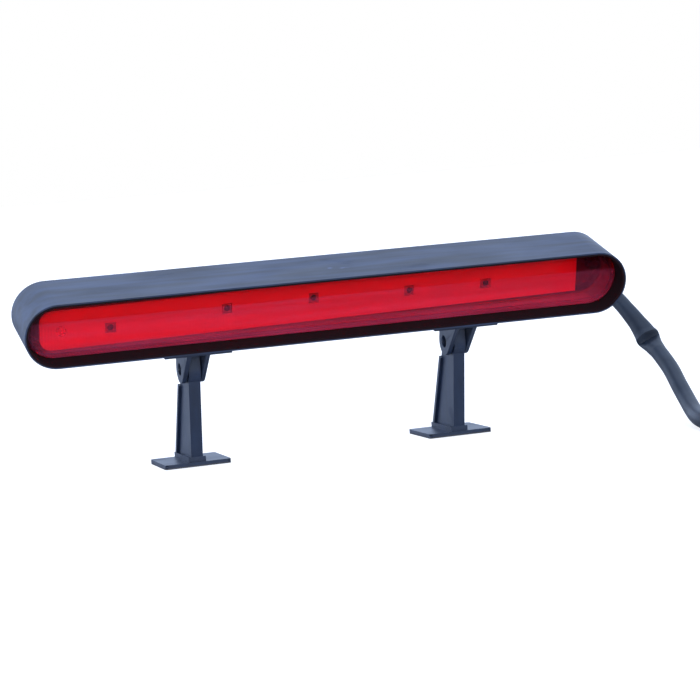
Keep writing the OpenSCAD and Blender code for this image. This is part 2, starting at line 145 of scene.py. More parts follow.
def join_rings(bm, near, far):
    """Faces between two closed rings of points. A ring of one point closes into a fan."""
    count = max(len(near), len(far))
    for k in range(count):
        n = (k + 1) % count
        corners = [near[k % len(near)], near[n % len(near)], far[n % len(far)], far[k % len(far)]]
        unique = list(dict.fromkeys(corners))
        if len(unique) > 2:
            bm.faces.new(unique)


def add_tube(bm, line, radius, sides, section=None):
    """Sweeps a round tube with closed ends. section(i, arm) may reshape the ring at point i."""
    across = None
    rings = []
    for i, (centre, ahead) in enumerate(zip(line, tangents(line))):
        if across is None:
            across = ahead.cross(UP if abs(ahead.z) < STEEP else Vector((1, 0, 0))).normalized()
        across = (across - ahead * across.dot(ahead)).normalized()
        over = across.cross(ahead)
        ring = []
        for k in range(sides):
            angle = 2 * math.pi * k / sides
            arm = radius * (math.cos(angle) * across + math.sin(angle) * over)
            ring.append(bm.verts.new(centre + (section(i, arm) if section else arm)))
        rings.append(ring)
    for near, far in zip(rings, rings[1:]):
        join_rings(bm, near, far)
    bm.faces.new(rings[0])
    bm.faces.new(rings[-1])


def add_lathe(bm, profile, place, steps=48):
    """Turns a profile of (radius, distance) in mm about an axis. place(x, y, z) puts its points."""
    rings = []
    for radius, rise in profile:
        turn = [2 * math.pi * k / steps for k in range(steps if radius else 1)]
        rings.append([bm.verts.new(place(radius * MM * math.cos(a), radius * MM * math.sin(a), rise * MM))
                      for a in turn])
    for near, far in zip(rings, rings[1:]):
        join_rings(bm, near, far)


def add_box(bm, low, high, place):
    """A box between two corners, each of its corners put in place by place(x, y, z)."""
    corners = [bm.verts.new(place(x, y, z))
               for x in (low[0], high[0]) for y in (low[1], high[1]) for z in (low[2], high[2])]
    faces = []
    for face in ((0, 1, 3, 2), (4, 6, 7, 5), (0, 4, 5, 1), (2, 3, 7, 6), (0, 2, 6, 4), (1, 5, 7, 3)):
        faces.append(bm.faces.new([corners[i] for i in face]))
    return faces


def round_edges(bm, faces, width):
    """Rounds the edges of those faces."""
    bmesh.ops.recalc_face_normals(bm, faces=faces)
    edges = list(dict.fromkeys(edge for face in faces for edge in face.edges))
    bmesh.ops.bevel(bm, geom=edges, offset=width, segments=2, profile=0.5, affect="EDGES")


def carve(piece, cuts, smooth_angle):
    """Cuts a bmesh out of a piece."""
    bmesh.ops.recalc_face_normals(cuts, faces=cuts.faces)
    mesh = bpy.data.meshes.new("cuts")
    cuts.to_mesh(mesh)
    cuts.free()
    cutter = bpy.data.objects.new("cuts", mesh)
    bpy.context.collection.objects.link(cutter)
    boolean = piece.modifiers.new("cuts", "BOOLEAN")
    boolean.operation = "DIFFERENCE"
    boolean.solver = "EXACT"
    boolean.use_self = True
    boolean.object = cutter
    seen = bpy.context.evaluated_depsgraph_get()
    carved = bpy.data.meshes.new_from_object(piece.evaluated_get(seen))
    piece.modifiers.remove(boolean)
    piece.data = carved
    carved.set_sharp_from_angle(angle=math.radians(smooth_angle))
    bpy.data.objects.remove(cutter)


def ease(t):
    """Smooth step from 0 to 1, as t goes from 0 to 1."""
    t = min(max(t, 0), 1)
    return t * t * (3 - 2 * t)


def between(rows, at):
    """Row of a table at a place between its own rows, which start with their places."""
    if at <= rows[0][0]:
        return rows[0]
    for a, b in zip(rows, rows[1:]):
        if at <= b[0]:
            t = (at - a[0]) / (b[0] - a[0])
            return [x + (y - x) * t for x, y in zip(a, b)]
    return rows[-1]


# ---------------------------------------------------------------- cable

# Sizes of the cable and its coil are in millimetres, as in the CAD model, and angles in degrees
CABLE = 8.4
# Sides round the sleeve
CABLE_SIDES = 20
# The free stretch, the same points as the CAD model's route
CABLE_ROUTE = [
    (130, 2.1, 78.4), (130, 13.5, 82), (131, 23, 84), (136, 31, 83), (144, 35, 79), (153, 35, 73),
    (161, 31, 66), (167, 24, 59.5), (170, 15, 52), (172, 6, 44.5), (173, -4, 36.5), (173, -16, 30),
    (172, -28, 24), (170, -40, 17.5), (168, -52, 11.5), (165, -65, 7), (161.5, -78, 5.2),
    (160, -90, 4.5), (162, -102, 4.5), (168.5, -112, 4.6), (178.5, -119.5, 4.7),
    (190.5, -126, 4.8), (204.3, -133.2, 4.8),
]
ROUTE_STEPS = 20

COIL_MIDDLE = (238, -85)
COIL_RADIUS = 46
# Height of the coil's underside, which lies on the tie
COIL_UNDER = 0.6
COIL_OUTER, COIL_INNER = COIL_RADIUS + CABLE / 2, COIL_RADIUS - CABLE / 2
COIL_LOW, COIL_HIGH = COIL_UNDER + CABLE / 2, COIL_UNDER + 1.5 * CABLE
# Where the coil starts, how far apart its points are, and how far round it goes on
COIL_START_RADIUS = 58.8
COIL_START_ANGLE = 235
COIL_STEP = 5
COIL_END = 1367
# Coil's changes of lane: (degrees at which one starts, degrees it takes, new radius, new height)
COIL_LANES = [
    (0, 40, COIL_OUTER, COIL_LOW),
    (360, 40, COIL_INNER, COIL_LOW),
    (680, 45, COIL_INNER, COIL_HIGH),
    (1020, 40, COIL_OUTER, COIL_HIGH),
]

# The kink: where it is along the cable, which way it is wide, and its section along the cable
KINK_AT = 108
KINK_ACROSS = Vector((0.851, -0.223, 0.474))
# (distance from the kink, scale across, scale through, lift towards the viewer)
KINK = [
    (-24, 1.0, 1.0, 0), (-12, 1.12, 0.88, 0), (-4, 1.32, 0.74, 0.5), (-0.8, 1.46, 0.64, 1.5),
    (0, 1.46, 0.5, 0.8), (0.9, 1.43, 0.34, -1.3), (3, 1.3, 0.5, -0.9), (7, 1.12, 0.8, -0.3),
    (13, 1.0, 1.0, 0),
]


def coil_place(radius, degrees, height):
    """Point of the coil, in metres, after that many degrees of coiling."""
    turn = math.radians(degrees + COIL_START_ANGLE)
    return MM * Vector((COIL_MIDDLE[0] + radius * math.cos(turn),
                        COIL_MIDDLE[1] + radius * math.sin(turn), height))


def coil_point(degrees):
    """Middle of the cable after that many degrees of coiling."""
    radius, height = COIL_START_RADIUS, COIL_LOW
    for start, takes, new_radius, new_height in COIL_LANES:
        done = ease((degrees - start) / takes)
        radius += (new_radius - radius) * done
        height += (new_height - height) * done
    return coil_place(radius, degrees, height)


def make_cable():
    """The sleeve, from the grommet over the kink and round the coil; returns its line too."""
    free = [MM * point for point in smooth_route(CABLE_ROUTE, ROUTE_STEPS)]
    line = free + [coil_point(degrees) for degrees in range(COIL_STEP, COIL_END, COIL_STEP)]
    along = lengths_along(line)
    ahead = tangents(line)

    def section(i, arm):
        _, wide, thin, lift = between(KINK, along[i] / MM - KINK_AT)
        side = (KINK_ACROSS - ahead[i] * KINK_ACROSS.dot(ahead[i])).normalized()
        through = side.cross(ahead[i])
        flat = side * arm.dot(side) * wide + through * arm.dot(through) * thin
        return flat - through * lift * MM * (1 - abs(arm.dot(side)) / (CABLE * MM))

    bm = bmesh.new()
    add_tube(bm, line, CABLE / 2 * MM, CABLE_SIDES, section)
    cable = new_piece("cable", bm, "lamp")
    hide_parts("cable_sleeve", "cable_coil")
    return cable, line


# ---------------------------------------------------------------- the cable's bare end

WIRE = 2
WIRE_SIDES = 16
# Distance of each wire's middle from the coil's middle circle
WIRE_APART = 1.3
WIRE_HEIGHT = COIL_UNDER + 2 * CABLE + WIRE / 2
# Degrees of coiling at which a wire starts, inside the sleeve, and ends, and that it takes to settle
WIRE_START, WIRE_END = COIL_END - 4, COIL_END + 66
WIRE_SETTLES = 12
# Degrees of coiling that the bare strands go on for, and that they start inside the wire
CORE_LONG, CORE_INSIDE = 8.7, 0.5
CORE_STEPS = 24
# Turns that the outer strands make round the middle one
CORE_TWIST = 1.2
STRANDS_ROUND = 6
STRAND = 0.42
STRAND_APART = 0.95 * STRAND
STRAND_SIDES = 8


def wire_point(degrees, side):
    """Middle of a wire that leaves the sleeve's end and settles on the coil's top."""
    done = ease((degrees - COIL_END) / WIRE_SETTLES)
    radius = COIL_OUTER + (COIL_RADIUS - COIL_OUTER) * done + side * WIRE_APART
    return coil_place(radius, degrees, COIL_HIGH + (WIRE_HEIGHT - COIL_HIGH) * done)


def make_wire(name, side):
    """One wire of the bare end, with its insulation."""
    line = [wire_point(degrees, side) for degrees in range(WIRE_START, WIRE_END + 1)]
    bm = bmesh.new()
    add_tube(bm, line, WIRE / 2 * MM, WIRE_SIDES)
    wire = new_piece(name + "_lead", bm, "lamp")
    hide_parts(name)
    return wire


def make_cores():
    """Twisted copper strands at the end of each wire."""
    bm = bmesh.new()
    shares = [i / CORE_STEPS for i in range(CORE_STEPS + 1)]
    for side in (1, -1):
        middle = [wire_point(WIRE_END - CORE_INSIDE + (CORE_LONG + CORE_INSIDE) * share, side)
                  for share in shares]
        add_tube(bm, middle, STRAND / 2 * MM, STRAND_SIDES)
        for strand in range(STRANDS_ROUND):
            line = []
            for share, centre, ahead in zip(shares, middle, tangents(middle)):
                across = ahead.cross(UP).normalized()
                turn = 2 * math.pi * (strand / STRANDS_ROUND + CORE_TWIST * share)
                arm = math.cos(turn) * across + math.sin(turn) * UP
                line.append(centre + arm * STRAND_APART * MM)
            add_tube(bm, line, STRAND / 2 * MM, STRAND_SIDES)
    cores = new_piece("copper_strands", bm, "lamp")
    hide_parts("wire_cores")
    return cores


# ---------------------------------------------------------------- cable tie

TIE_ANGLE = math.radians(60)
TIE_WIDTH = 4.6 * MM
TIE_THICK = 0.55 * MM
# Half the strap's square section at the middle of its thickness, and the radius of its corners
TIE_HALF = 8.7 * MM
TIE_CORNER = 4.4 * MM
TIE_CORNER_STEPS = 6
# Height of the middle of the strap's square section
TIE_HEIGHT = 9.02 * MM
# The ratchet head's size outwards, along the cable and upwards, and how low it starts
TIE_HEAD = Vector((4.4, 6.4, 5.2)) * MM
TIE_HEAD_LOW = -2.2 * MM
TIE_HEAD_ROUNDING = 0.5 * MM
# Where the cut tail starts and ends, from the middle of the strap's square section
TIE_TAIL_LOW, TIE_TAIL_HIGH = -8.2 * MM, 4.2 * MM
TIE_TAIL_ROUNDING = 0.15 * MM


def tie_place(x, y, z):
    """Row's frame of a point near the tie: x outwards from the coil's middle, y along the cable."""
    out = Vector((math.cos(TIE_ANGLE), math.sin(TIE_ANGLE), 0))
    ahead = Vector((-out.y, out.x, 0))
    middle = MM * Vector((*COIL_MIDDLE, 0))
    return middle + out * (COIL_RADIUS * MM + x) + ahead * y + UP * (TIE_HEIGHT + z)


def make_tie():
    """Cable tie round the coil: a strap with rounded corners, a ratchet head and a cut tail."""
    bm = bmesh.new()
    inner, outer = TIE_CORNER - TIE_THICK / 2, TIE_CORNER + TIE_THICK / 2
    corner_middle = TIE_HALF - TIE_CORNER
    rings = []
    for corner, (sx, sz) in enumerate(((1, 1), (-1, 1), (-1, -1), (1, -1))):
        for k in range(TIE_CORNER_STEPS + 1):
            a = math.pi / 2 * (corner + k / TIE_CORNER_STEPS)
            rings.append([bm.verts.new(tie_place(sx * corner_middle + math.cos(a) * radius, y,
                                                 sz * corner_middle + math.sin(a) * radius))
                          for radius, y in ((inner, -TIE_WIDTH / 2), (outer, -TIE_WIDTH / 2),
                                            (outer, TIE_WIDTH / 2), (inner, TIE_WIDTH / 2))])
    for near, far in zip(rings, rings[1:] + rings[:1]):
        join_rings(bm, near, far)
    head_low = Vector((TIE_HALF - TIE_THICK / 2, -TIE_HEAD.y / 2, TIE_HEAD_LOW))
    head = add_box(bm, head_low, head_low + TIE_HEAD, tie_place)
    round_edges(bm, head, TIE_HEAD_ROUNDING)
    tail_low = (TIE_HALF + TIE_THICK, -TIE_WIDTH / 2, TIE_TAIL_LOW)
    tail_high = (TIE_HALF + 2 * TIE_THICK, TIE_WIDTH / 2, TIE_TAIL_HIGH)
    tail = add_box(bm, tail_low, tail_high, tie_place)
    round_edges(bm, tail, TIE_TAIL_ROUNDING)
    tie = new_piece("cable_tie", bm, "lamp")
    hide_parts("coil_tie")
    return tie


def make_cord():
    """The whole cable with its bare end and its tie."""
    cable, line = make_cable()
    wires = [make_wire("wire_end_red", 1), make_wire("wire_end_black", -1)]
    cores = make_cores()
    tie = make_tie()


# ---------------------------------------------------------------- lens

LENS_RECESS = 9 * MM
LENS_BACK = 22.5 * MM
LENS_WALL = 1.8 * MM
LENS_GAP = 0.15 * MM
# Half the height of the lens's outside and inside
LENS_OUTSIDE = HOUSING_HEIGHT / 2 - HOOD_WALL - LENS_GAP
LENS_INSIDE = LENS_OUTSIDE - LENS_WALL
# The face's rounded edge: its size across the face and in depth, and the angles of its points
EDGE = 1.2 * MM
EDGE_DEPTH = 1 * MM
EDGE_ANGLES = [math.radians(a) for a in range(0, 91, 10)]
# Half heights, in mm, of the rows of points on the smooth face, and on the flutes behind it
FACE_ROWS = (0, 3, 6, 9, 12)
FLUTE_ROWS = (8.6, 6, 3, 0)
FLUTES_START = 9.5
FLUTE_PITCH = 1.5 * MM
FLUTE_DEEP = 0.09 * MM
FLUTE_STEPS = 4
# A short moulding post behind the face: its middle, and its profile of (radius, depth) in mm
LENS_POST_AT = (-131 * MM, -1.3 * MM)
LENS_POST = [(0, 10.4), (2.3, 10.4), (2.2, 12.1), (1.5, 12.1), (1.5, 11.2), (0, 11.2)]
END_STEPS = 40


def stadium_ring(half_height, stations):
    """Points (x, height) round a stadium outline, clockwise from the top left."""
    straight = stations[-1]
    turns = [math.pi * k / END_STEPS for k in range(1, END_STEPS)]
    ring = [(x, half_height) for x in stations]
    ring += [(straight + half_height * math.sin(a), half_height * math.cos(a)) for a in turns]
    ring += [(x, -half_height) for x in reversed(stations)]
    ring += [(-straight - half_height * math.sin(a), -half_height * math.cos(a)) for a in turns]
    return ring


def flute(x):
    """Height of the flutes at x, from 0 to 1."""
    return 0.5 - 0.5 * math.cos(2 * math.pi * x / FLUTE_PITCH)


def add_stadium_loft(bm, rings, stations):
    """Joins stadium rings of (depth, half height, depth of flutes), one after another."""
    rows = []
    for depth, half_height, deep in rings:
        rows.append([bm.verts.new(lamp_point(x, depth + deep * flute(x), z))
                     for x, z in stadium_ring(half_height, stations)])
    for near, far in zip(rows, rows[1:]):
        join_rings(bm, near, far)


def rounded_edge(depth, half_height):
    """Stadium rings round the edge between a flat face at that depth and a wall."""
    return [(depth + EDGE_DEPTH * (1 - math.cos(a)), half_height - EDGE * (1 - math.sin(a)), 0)
            for a in EDGE_ANGLES]


def make_lens():
    """A cup with a rounded edge, fine flutes behind its face and a moulding post."""
    count = round(2 * HOUSING_STRAIGHT / FLUTE_PITCH) * FLUTE_STEPS
    stations = [HOUSING_STRAIGHT * (2 * i / count - 1) for i in range(count + 1)]
    inner_face = LENS_RECESS + LENS_WALL
    rings = [(LENS_RECESS, row * MM, 0) for row in FACE_ROWS]
    rings += rounded_edge(LENS_RECESS, LENS_OUTSIDE)
    rings += [(LENS_BACK, LENS_OUTSIDE, 0), (LENS_BACK, LENS_INSIDE, 0)]
    rings += reversed(rounded_edge(inner_face, LENS_INSIDE))
    rings += [(inner_face, FLUTES_START * MM, 0)]
    rings += [(inner_face, row * MM, FLUTE_DEEP) for row in FLUTE_ROWS]
    bm = bmesh.new()
    add_stadium_loft(bm, rings, stations)
    bmesh.ops.remove_doubles(bm, verts=bm.verts, dist=MERGE)
    add_lathe(bm, LENS_POST,
              lambda u, v, w: lamp_point(LENS_POST_AT[0] + u, w, LENS_POST_AT[1] + v), steps=32)
    lens = new_piece("lens_fluted", bm, "lamp", smooth_angle=50)
    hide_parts("lens")


# ---------------------------------------------------------------- LEDs

# The reflector's left end, about which it and the LEDs slope away from the lens, and its height
REFLECTOR_LEFT, REFLECTOR_FRONT = -140.8 * MM, 12.4 * MM
REFLECTOR_SLOPE = math.radians(2)
REFLECTOR_RISE = -1.5 * MM
# Places of the LEDs: (x, height above the reflector's middle) in mm
LED_PLACES = ((-107, -1.5), (-50, 1.5), (-6.5, 2), (43, 0.3), (83.5, -0.5))
LED_SIDE = 4.5 * MM
LED_FRONT, LED_BACK = 12.8 * MM, 15.1 * MM
LED_ROUNDING = 0.2 * MM
# Dome's radius, rise in front of the package and depth inside it, in mm
DOME_RADIUS, DOME_RISE, DOME_FOOT = 1.5, 0.35, 0.5
DOME_ANGLES = [math.radians(a) for a in range(0, 90, 15)]


def sloped_point(x, depth, height):
    """A point of the sloping reflector's frame, put into the row's frame."""
    along, behind = x - REFLECTOR_LEFT, depth - REFLECTOR_FRONT
    cosine, sine = math.cos(REFLECTOR_SLOPE), math.sin(REFLECTOR_SLOPE)
    return lamp_point(REFLECTOR_LEFT + along * cosine - behind * sine,
                      REFLECTOR_FRONT + along * sine + behind * cosine,
                      REFLECTOR_RISE + height)


def make_leds():
    """LED packages, each with a dark dome that stands a little proud of it."""
    bm = bmesh.new()
    half = LED_SIDE / 2
    dome = [(0, -DOME_FOOT), (DOME_RADIUS, -DOME_FOOT)]
    dome += [(DOME_RADIUS * math.cos(a), DOME_RISE * math.sin(a)) for a in DOME_ANGLES]
    dome += [(0, DOME_RISE)]
    for place in LED_PLACES:
        x, z = (MM * value for value in place)
        faces = add_box(bm, (x - half, LED_FRONT, z - half), (x + half, LED_BACK, z + half),
                        sloped_point)
        round_edges(bm, faces, LED_ROUNDING)
        add_lathe(bm, dome, lambda u, v, w, x=x, z=z: sloped_point(x + u, LED_FRONT - w, z + v),
                  steps=24)
    leds = new_piece("led_packages", bm, "lamp", smooth_angle=30)
    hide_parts("leds")


# ---------------------------------------------------------------- cover screws and grommet

# Places of the screws in the rear cover: (x, height) in mm
COVER_SCREWS = ((-143.4, 0), (143.4, 0), (0, 9.6), (0, -9.6))
SCREW_SINK = 1 * MM
# Profile of a pan head and its shank: (radius, distance outwards from the head's underside) in mm
PAN_HEAD = [(0, -5.6), (0.7, -5.6), (1.1, -5), (1.1, 0), (2.1, 0), (2.1, 0.55), (1.95, 0.95),
            (1.6, 1.22), (1.1, 1.36), (0, 1.4)]
HEAD_TOP = PAN_HEAD[-1][1] * MM
CROSS_LENGTH, CROSS_WIDTH, CROSS_DEPTH = 2.2 * MM, 0.5 * MM, 0.8 * MM
# Angle in degrees from which the screws' edges are sharp
SCREW_SHARP = 35

GROMMET_AT = (130 * MM, -3 * MM)
# Profile of (radius, depth) in mm, from the bore round the lip and flange to the ribbed tail's end
GROMMET = [(2.2, 30.6), (6.4, 30.6), (6.4, 31.5), (5.5, 31.5), (5.5, 33.5), (6.7, 33.5), (7, 33.8),
           (7, 34.4), (6.7, 34.7), (6.0, 34.8), (5.95, 35.6), (5.35, 35.8), (5.3, 36.5),
           (5.85, 36.7), (5.75, 37.6), (5.2, 37.8), (5.15, 38.5), (5.65, 38.7), (5.5, 39.6),
           (5.0, 39.8), (5.0, 40.5), (5.4, 40.7), (5.3, 41.7), (5.2, 42.4), (4.9, 42.6),
           (4.3, 42.6), (4.3, 32.5), (2.2, 32.5), (2.2, 30.6)]


def make_cover_screws():
    """Pan-head screws with a cross recess, sunk in the rear cover."""
    bm = bmesh.new()
    cuts = bmesh.new()
    base = HOUSING_DEPTH - SCREW_SINK
    for x, z in COVER_SCREWS:
        def place(u, v, w, x=x, z=z):
            return lamp_point(x * MM + u, base + w, z * MM + v)
        add_lathe(bm, PAN_HEAD, place, steps=32)
        for wide, tall in ((CROSS_LENGTH, CROSS_WIDTH), (CROSS_WIDTH, CROSS_LENGTH)):
            add_box(cuts, (-wide / 2, -tall / 2, HEAD_TOP - CROSS_DEPTH),
                    (wide / 2, tall / 2, 2 * HEAD_TOP), place)
    screws = new_piece("cover_screw_heads", bm, "lamp", SCREW_SHARP)
    carve(screws, cuts, SCREW_SHARP)
    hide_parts("cover_screws")


def make_grommet():
    """Ribbed rubber grommet around the cable's exit."""
    bm = bmesh.new()
    add_lathe(bm, GROMMET, lambda u, v, w: lamp_point(GROMMET_AT[0] + u, w, GROMMET_AT[1] + v))
    bmesh.ops.remove_doubles(bm, verts=bm.verts, dist=MERGE)
    grommet = new_piece("ribbed_grommet", bm, "lamp", smooth_angle=50)
    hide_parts("cable_grommet")


# ---------------------------------------------------------------- material tools

# Scale at which a wave texture repeats once in a metre, and the scale of the noise that bends it
WAVE_SCALE = math.pi / 10
WAVE_DETAIL_SCALE = 40


def material(name):
    """A new material, with its nodes, links and main shader."""
    mat = bpy.data.materials.new(name)
    mat.use_nodes = True
    return mat, mat.node_tree.nodes, mat.node_tree.links, mat.node_tree.nodes["Principled BSDF"]


def grey(value):
    """A colour without hue, or a plain value as a colour."""
    return (value, value, value)


def noise(nodes, links, scale, detail=3.0, stretch=(1, 1, 1)):
    """Noise in metres, from the object's own coordinates; returns its value socket."""
    place = nodes.new("ShaderNodeTexCoord")
    mapping = nodes.new("ShaderNodeMapping")
    mapping.inputs["Scale"].default_value = stretch
    texture = nodes.new("ShaderNodeTexNoise")
    texture.inputs["Scale"].default_value = scale
    texture.inputs["Detail"].default_value = detail
    links.new(place.outputs["Object"], mapping.inputs["Vector"])
    links.new(mapping.outputs["Vector"], texture.inputs["Vector"])
    return texture.outputs["Fac"]


def stripes(nodes, links, direction, pitch, distortion):
    """Waves along an axis with that distance from one to the next."""
    place = nodes.new("ShaderNodeTexCoord")
    waves = nodes.new("ShaderNodeTexWave")
    waves.wave_type, waves.bands_direction = "BANDS", direction
    waves.inputs["Scale"].default_value = WAVE_SCALE / pitch
    waves.inputs["Distortion"].default_value = distortion
    waves.inputs["Detail Scale"].default_value = WAVE_DETAIL_SCALE
    links.new(place.outputs["Object"], waves.inputs["Vector"])
    return waves.outputs["Fac"]


def ramp(nodes, links, value, stops):
    """Colour ramp over a value: stops of (position, colour)."""
    node = nodes.new("ShaderNodeValToRGB")
    while len(node.color_ramp.elements) < len(stops):
        node.color_ramp.elements.new(1)
    for element, (at, colour) in zip(node.color_ramp.elements, stops):
        element.position = at
        element.color = (*colour, 1)
    links.new(value, node.inputs["Fac"])
    return node.outputs["Color"]


def grey_ramp(nodes, links, value, stops):
    """Ramp over a value: stops of (position, new value)."""
    return ramp(nodes, links, value, [(at, grey(new_value)) for at, new_value in stops])


def bump(nodes, links, shader, height, distance):
    """Fine relief of that height, in metres, on the shader's surface."""
    node = nodes.new("ShaderNodeBump")
    node.inputs["Distance"].default_value = distance
    links.new(height, node.inputs["Height"])
    links.new(node.outputs["Normal"], shader.inputs["Normal"])


def math_node(nodes, links, operation, first, second=0):
    """Math on one or two values, each a socket or a number."""
    node = nodes.new("ShaderNodeMath")
    node.operation = operation
    for socket, value in zip(node.inputs, (first, second)):
        if isinstance(value, (int, float)):
            socket.default_value = value
        else:
            links.new(value, socket)
    return node.outputs["Value"]


def mixed(nodes, links, share, first, second):
    """A colour between two, each a socket or a colour."""
    mix = nodes.new("ShaderNodeMix")
    mix.data_type = "RGBA"
    links.new(share, mix.inputs["Factor"])
    for name, value in (("A", first), ("B", second)):
        if isinstance(value, tuple):
            mix.inputs[name].default_value = (*value, 1)
        else:
            links.new(value, mix.inputs[name])
    return mix.outputs["Result"]


def lamp_measure(nodes, links, axis):
    """Distance along an axis (x, depth, height) of the lamp's own frame, in millimetres."""
    place = nodes.new("ShaderNodeTexCoord")
    along = nodes.new("ShaderNodeVectorMath")
    along.operation = "DOT_PRODUCT"
    zero = lamp_point(0, 0, 0)
    direction = lamp_point(*axis) - zero
    along.inputs[1].default_value = direction
    links.new(place.outputs["Object"], along.inputs[0])
    from_zero = math_node(nodes, links, "SUBTRACT", along.outputs["Value"], zero.dot(direction))
    return math_node(nodes, links, "DIVIDE", from_zero, MM)


def lamp_x(nodes, links):
    """Distance along the lamp from its middle, in millimetres."""
    return lamp_measure(nodes, links, (1, 0, 0))


def lamp_depth(nodes, links):
    """Distance behind the lamp's front, in millimetres."""
    return lamp_measure(nodes, links, (0, 1, 0))


def lamp_height(nodes, links):
    """Height above the lamp's axis, in millimetres."""
    return lamp_measure(nodes, links, (0, 0, 1))


def ellipses(nodes, links, across, along, rows):
    """1 in the middle of each ellipse of (middle, middle, half width, half height), 0 outside."""
    total = 0
    for first, second, half_first, half_second in rows:
        squares = []
        for value, middle, half in ((across, first, half_first), (along, second, half_second)):
            away = math_node(nodes, links, "SUBTRACT", value, middle)
            away = math_node(nodes, links, "DIVIDE", away, half)
            squares.append(math_node(nodes, links, "MULTIPLY", away, away))
        distance = math_node(nodes, links, "ADD", *squares)
        spot = math_node(nodes, links, "MAXIMUM", math_node(nodes, links, "SUBTRACT", 1, distance))
        total = math_node(nodes, links, "ADD", spot, total)
    return total


def change_part(mat, share, colour, roughness, shine=None):
    """Changes a plastic's colour, roughness and shine where share(nodes, links) gives 1."""
    nodes, links = mat.node_tree.nodes, mat.node_tree.links
    shader = nodes["Principled BSDF"]
    part = share(nodes, links)
    for name, value in (("Base Color", colour), ("Roughness", grey(roughness))):
        socket = shader.inputs[name]
        links.new(mixed(nodes, links, part, socket.links[0].from_socket, value), socket)
    if shine is not None:
        socket = shader.inputs["Specular IOR Level"]
        links.new(mixed(nodes, links, part, grey(socket.default_value), grey(shine)), socket)


# ---------------------------------------------------------------- moulded plastics and metals

# Scale and detail of the flow streaks' noise, where it is dark and light, and how far wear darkens
FLOW_NOISE = (4, 4)
FLOW_DARK, FLOW_LIGHT = 0.35, 0.65
DARKENING = 0.6
# Scale, detail and stretch of the gloss's patches, and their roughness: (noise, share of the usual)
GLOSS_NOISE = (55, 5, (0.5, 1, 1))
GLOSS = [(0.35, 0.88), (0.62, 1.05), (0.72, 1.35)]
GRAIN_DETAIL = 2

# Name: colour, roughness, and what differs from moulded()'s usual values
MOULDED = {
    "housing_plastic": ((0.011, 0.020, 0.045), 0.45, {"wear": 0.8, "ior": 1.58}),
    "bracket_plastic": ((0.008, 0.017, 0.041), 0.4, {"streaks": (60, 60, 6), "ior": 1.58}),
    "cover_plastic": ((0.026, 0.034, 0.052), 0.55, {"relief": 0.05}),
    "seal_rubber": ((0.02, 0.021, 0.024), 0.7, {}),
    "cable_sleeve": ((0.004, 0.010, 0.022), 0.45, {"grain": 700, "streaks": (30, 30, 30)}),
    "reflector_white": ((0.86, 0.86, 0.85), 0.25, {"wear": 0.03}),
    "board_white": ((0.78, 0.79, 0.77), 0.3, {"wear": 0.03}),
    "led_body": ((0.4, 0.33, 0.3), 0.3, {"wear": 0.05}),
    "component_black": ((0.02, 0.02, 0.022), 0.5, {}),
    "tie_plastic": ((0.015, 0.016, 0.018), 0.4, {}),
    "foam_tape": ((0.06, 0.06, 0.065), 0.85, {}),
    "wire_red": ((0.5, 0.015, 0.015), 0.3, {}),
    "wire_black": ((0.02, 0.02, 0.022), 0.3, {}),
    "pin_plastic": ((0.003, 0.003, 0.005), 0.7, {"ior": 1.3}),
    "screw_steel": ((0.55, 0.56, 0.58), 0.3, {"wear": 0.1, "metallic": 1.0}),
    "copper": ((0.75, 0.38, 0.2), 0.28, {"wear": 0.1, "metallic": 1.0}),
}


def moulded(name, colour, roughness, grain=1500, relief=0.02, streaks=(6, 60, 60), wear=0.25,
            ior=1.5, metallic=0.0):
    """Plastic or metal: flow streaks, a fine grain and uneven gloss."""
    mat, nodes, links, shader = material(name)
    shader.inputs["IOR"].default_value = ior
    shader.inputs["Metallic"].default_value = metallic
    flow = noise(nodes, links, *FLOW_NOISE, streaks)
    light = tuple(c * (1 + wear) for c in colour)
    dark = tuple(c * (1 - wear * DARKENING) for c in colour)
    streaky = ramp(nodes, links, flow, [(FLOW_DARK, dark), (FLOW_LIGHT, light)])
    links.new(streaky, shader.inputs["Base Color"])
    patches = noise(nodes, links, *GLOSS_NOISE)
    gloss = grey_ramp(nodes, links, patches, [(at, roughness * share) for at, share in GLOSS])
    links.new(gloss, shader.inputs["Roughness"])
    bump(nodes, links, shader, noise(nodes, links, grain, GRAIN_DETAIL), relief * MM)
    return mat


# ---------------------------------------------------------------- parts of a plastic

# How far the painted shade of the hood's inside goes on over its rim, and half the height of all that is
# painted dark
RIM_PAINTED_SHADE = 0.9 * MM
HOOD_MOUTH = HOUSING_HEIGHT / 2 - HOOD_WALL + RIM_PAINTED_SHADE
# Scuffs on the housing's top: (x, depth, half length, half width) in mm, and the noise in them
SCUFFS = [(0.8, 14.5, 1.8, 0.9), (7.6, 13, 2.8, 0.9)]
SCUFF_NOISE = (900, 3, (0.5, 1, 1))
SCUFF_WEAR = [(0.4, 0.2), (0.6, 1)]
# Colour, roughness and, for the hood, shine of each part. The hood's dark red is painted shade with a
# painted red reflection of the lens
HOOD_PAINTED_SHADE = ((0.010, 0.0015, 0.0025), 0.85, 0.15)
SCUFF_FINISH = ((0.12, 0.15, 0.26), 0.6)
DOME_FINISH = ((0.03, 0.015, 0.015), 0.15)


def hood_painted_shade_mask(nodes, links):
    """1 inside the hood and on the inner part of its rim, where shade and the lens's red reflection are
    painted; 0 elsewhere on the housing.
    """
    x = math_node(nodes, links, "ABSOLUTE", lamp_x(nodes, links))
    past = math_node(nodes, links, "MAXIMUM",
                     math_node(nodes, links, "SUBTRACT", x, HOUSING_STRAIGHT / MM), 0)
    height = lamp_height(nodes, links)
    squares = math_node(nodes, links, "ADD", math_node(nodes, links, "MULTIPLY", past, past),
                        math_node(nodes, links, "MULTIPLY", height, height))
    return math_node(nodes, links, "LESS_THAN", squares, (HOOD_MOUTH / MM) ** 2)


